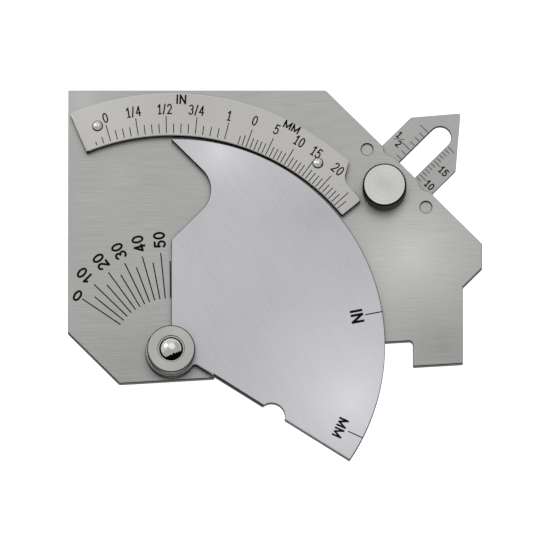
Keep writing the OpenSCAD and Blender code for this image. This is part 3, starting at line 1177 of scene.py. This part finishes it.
@dataclass
class ThroatPointer(SubAssembly):
    """Sliding pointer with graduations on both sides of its slot, read at the plate's cut corner.

    Args:
        corner_r: Radius of the pointer's corners.
        gap: Gap between the pointer and what it slides on.
        proud: Height of the paint over the face.
        front: Point on the slot's middle line beside the tip, flat.
        axis: Direction of the pointer.
        edge: Distance from the throat corner to the plate's cut edge.
        slot_side: Distance from the slot's middle to the lines' inner ends.
        metric_l: Length of the millimetre lines, with figures and without.
        inch_l: Length of the inch lines, at each quarter and between.
        line_w: Width of the lines.
        figure_at: Distance from the slot's middle to the middle of the millimetre figures.
        fraction_at: Distance from the slot's middle to the middle of the fractions.
        figure_h: Height of the figures.
        figure_back: Distance by which the figures stand behind their lines.
        fraction_share: Height of a fraction's figures as a share of the others'.
        fraction_apart: Shares of the height by which they stand off its middle, across and along.
        bar_w: Width of a fraction's bar.
        bar_reach: Shares of the height that half the bar reaches, across and along.
    """

    corner_r: float = 0.15
    gap: float = 0.03
    proud: float = 0.006
    front: Vector = field(default_factory=lambda: Vector((72.715, 60.955)))
    axis: float = 45.0
    edge: float = 28.0
    slot_side: float = 3.05
    metric_l: tuple[float, float] = (2.3, 1.5)
    inch_l: tuple[float, float] = (2.75, 1.5)
    line_w: float = 0.24
    figure_at: float = 6.7
    fraction_at: float = 7.0
    figure_h: float = 2.1
    figure_back: float = 0.2
    fraction_share: float = 0.95
    fraction_apart: tuple[float, float] = (0.36, 0.42)
    bar_w: float = 0.22
    bar_reach: tuple[float, float] = (0.5, 0.45)

    def build(self, palette: Palette) -> None:
        """Models the pointer and its graduations.

        Args:
            palette: Finishes that the pieces share.
        """
        skin = NodeSkin("throat_pointer", edge=0.18)
        piece = skin.copy()
        skin.ease(piece, self.gap)
        skin.round_corners(piece, self.corner_r)
        # The sides and the near-side slopes get painted shade: black sides and grey edge breaks.
        skin.dress(skin.finish(piece), palette.pointer, palette.cut_edge, palette.ground_edge, faces_near)
        marks = Engraving("pointer_graduations", "throat_pointer", proud=self.proud - self.gap)
        self.engrave_millimetres(marks)
        self.engrave_inches(marks)
        marks.finish(palette.ink)

    def spot(self, reading: float, side: float) -> Vector:
        """Returns the flat point for a reading at a distance to the left of the slot's middle."""
        return self.front + polar(reading - self.edge, self.axis) + polar(side, self.axis + 90)

    def engrave_millimetres(self, marks: Engraving) -> None:
        """Cuts the millimetre lines and figures on the right of the slot.

        Args:
            marks: Marks on the pointer.
        """
        for reading in range(21):
            reach = self.slot_side + self.metric_l[bool(reading % 5)]
            marks.line(self.spot(reading, -self.slot_side), self.spot(reading, -reach), self.line_w)
        for reading in (5, 10, 15):
            centre = self.spot(reading - self.figure_back, -self.figure_at)
            marks.figures(str(reading), centre, self.axis - 90, self.figure_h, Lettering.SMALL)

    def engrave_inches(self, marks: Engraving) -> None:
        """Cuts the inch lines and fractions on the left of the slot.

        Args:
            marks: Marks on the pointer.
        """
        for sixteenth in range(13):
            reading = sixteenth * INCH / 16
            reach = self.slot_side + self.inch_l[bool(sixteenth % 4)]
            marks.line(self.spot(reading, self.slot_side), self.spot(reading, reach), self.line_w)
        across, along = polar(self.figure_h, self.axis - 90), polar(self.figure_h, self.axis)
        apart = self.fraction_apart[0] * across - self.fraction_apart[1] * along
        reach = self.bar_reach[0] * across + self.bar_reach[1] * along
        height = self.fraction_share * self.figure_h
        for bottom, reading in (("4", INCH / 4), ("2", INCH / 2)):
            centre = self.spot(reading, self.fraction_at)
            for figure, side in (("1", -1), (bottom, 1)):
                marks.figures(figure, centre + side * apart, self.axis - 90, height, Lettering.SMALL)
            marks.line(centre - reach, centre + reach, self.bar_w)


@dataclass
class ThumbScrew(SubAssembly):
    """Knurled thumb screw with the flanged nut behind the pointer.

    Args:
        edge: Width of the edge break.
        face_depth: Depth under the face from which upward faces, such as the teeth's ends, are painted dark
            as shade.
    """

    edge: float = 0.06
    face_depth: float = 0.1

    def build(self, palette: Palette) -> None:
        """Models the screw and its nut.

        Args:
            palette: Finishes that the pieces share.
        """
        for node, colour, side in (("thumb_screw", "#cfcecd", palette.cut_edge),
                                   ("clamp_nut", "#b0b0aa", palette.turned_side)):
            # Steel faced on a lathe: light, with faint rings round its duller middle.
            face = TurnedSteel(f"faced_{node}_steel", colour, ring=0.5, contrast=0.2,
                               dullness=0.1).material(axis_of(node))
            level = (top_of(node) - self.face_depth) * MM
            # The sides and the teeth's ends get painted shade.
            NodeSkin(node, edge=self.edge, side_slope=0.97).stand_in(
                face, side, palette.turned_side, lambda tooth: tooth.center.z < level)


@dataclass(frozen=True)
class Lamp:
    """Round soft lamp over the table.

    Args:
        name: Name of the lamp.
        place: Middle of the lamp.
        size: Width of the lamp.
        watts: Power of the lamp.
    """

    name: str
    place: tuple[float, float, float]
    size: float
    watts: float

    def hang(self, aim: Vector) -> None:
        """Hangs the lamp so that it points at the object.

        Args:
            aim: Point that it points at.
        """
        light = bpy.data.lights.new(self.name, "AREA")
        light.shape = "DISK"
        light.size = self.size * MM
        light.energy = self.watts
        lamp = bpy.data.objects.new(self.name, light)
        bpy.context.collection.objects.link(lamp)
        place = Vector(self.place)
        lamp.location = place * MM
        lamp.rotation_euler = (aim - place).to_track_quat("-Z", "Y").to_euler()


@dataclass
class Studio:
    """White table under a large soft light, seen from above its near edge.

    Args:
        aim: Point at the middle of the view.
        tilt: Angle by which the camera leans back from straight above.
        distance: Distance from the camera to that point.
        view_w: Width of the view at that point.
        floor_w: Width of the table top.
        floor_drop: Gap between the table top and the object.
        floor_lift: Share of white that the table top shows without the lamps.
        window: Direction of the room's bright side.
        bright_side: Light of the room away from the window and towards it, and the shares of that direction.
        overhead: Light of the room low down and high up, and the shares of the height.
        horizon: Light of the room at the horizon and over it, and the shares of the height.
        lamps: Lamps over the table.
    """

    aim: Vector = field(default_factory=lambda: Vector((25.9, 19.9, 6.5)))
    tilt: float = 10.5
    distance: float = 4000.0
    view_w: float = 137.5
    floor_w: float = 6000.0
    floor_drop: float = 0.05
    floor_lift: float = 0.8
    window: float = 128.0
    bright_side: tuple[float, ...] = (0.0, 0.7, -0.3, 0.6)
    overhead: tuple[float, ...] = (0.3, 0.5, 0.05, 0.7)
    horizon: tuple[float, ...] = (0.65, 0.0, 0.25, 0.5)
    lamps: tuple[Lamp, ...] = (Lamp("overhead_softbox", (60, 240, 560), 520, 0.33),
                               Lamp("window_left", (-420, 330, 420), 300, 0.47))

    def build_camera(self) -> None:
        """Sets up the camera at the photograph's viewing angle."""
        camera = bpy.data.cameras.new("camera")
        camera.sensor_width = 36.0
        camera.lens = camera.sensor_width * self.distance / self.view_w
        camera.clip_end = 50.0
        stand = bpy.data.objects.new("camera", camera)
        bpy.context.collection.objects.link(stand)
        lean = math.radians(self.tilt)
        away = Vector((0, -math.sin(lean), math.cos(lean)))
        stand.location = (self.aim + self.distance * away) * MM
        stand.rotation_euler = (lean, 0, 0)
        bpy.context.scene.camera = stand

    def build_floor(self) -> None:
        """Lays a white table top that keeps the object's shadow."""
        bpy.ops.object.select_all(action="DESELECT")
        bpy.ops.mesh.primitive_plane_add(size=self.floor_w * MM, location=(0, 0, -self.floor_drop * MM))
        floor = bpy.context.object
        floor.name = "table_top"
        material = bpy.data.materials.new("white_table")
        material.use_nodes = True
        tree = material.node_tree
        tree.nodes.clear()
        path = add_node(tree, "ShaderNodeLightPath").outputs
        seen = path["Is Camera Ray"]
        for ray in ("Is Glossy Ray", "Is Transmission Ray"):
            seen = compute(tree, "MAXIMUM", seen, path[ray])
        lift = compute(tree, "MULTIPLY", seen, self.floor_lift)
        paint = add_node(tree, "ShaderNodeBsdfDiffuse", {"Color": linear("#f4f4f4")}).outputs[0]
        glow = add_node(tree, "ShaderNodeEmission", {"Color": (1, 1, 1, 1), "Strength": lift}).outputs[0]
        both = add_node(tree, "ShaderNodeAddShader", {0: paint, 1: glow}).outputs[0]
        add_node(tree, "ShaderNodeOutputMaterial", {"Surface": both})
        floor.data.materials.append(material)

    def build_world(self) -> None:
        """Lights the room: bright towards the window and along the horizon, softer overhead."""
        world = bpy.data.worlds.new("studio")
        bpy.context.scene.world = world
        world.use_nodes = True
        tree = world.node_tree
        tree.nodes.clear()
        toward = add_node(tree, "ShaderNodeTexCoord").outputs["Generated"]
        split = add_node(tree, "ShaderNodeSeparateXYZ", {0: toward}).outputs
        facing = add_node(tree, "ShaderNodeVectorMath", {0: toward, 1: polar(1, self.window).to_3d()},
                          operation="DOT_PRODUCT").outputs["Value"]
        level = ramp(tree, split["Z"], *self.overhead, SOFT)
        for share, light in ((facing, self.bright_side), (split["Z"], self.horizon)):
            level = compute(tree, "MAXIMUM", level, ramp(tree, share, *light, SOFT))
        glow = add_node(tree, "ShaderNodeBackground", {"Color": (1, 1, 1, 1), "Strength": level}).outputs[0]
        add_node(tree, "ShaderNodeOutputWorld", {"Surface": glow})

    def build(self) -> None:
        """Builds the camera, the table, the room and the lamps."""
        self.build_camera()
        self.build_floor()
        self.build_world()
        for lamp in self.lamps:
            lamp.hang(self.aim)
        bpy.context.scene.view_settings.view_transform = "Standard"


def main() -> None:
    """Builds the studio and the gauge's sub-assemblies in order."""
    logging.basicConfig(level=logging.INFO, format="%(message)s")
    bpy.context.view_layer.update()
    Studio().build()
    palette = Palette()
    for assembly in (BodyPlate(), ArcScale(), Cam(), Pivot(), ThroatPointer(), ThumbScrew()):
        LOG.info("%s", type(assembly).__name__)
        assembly.build(palette)


if __name__ == "__main__":
    main()
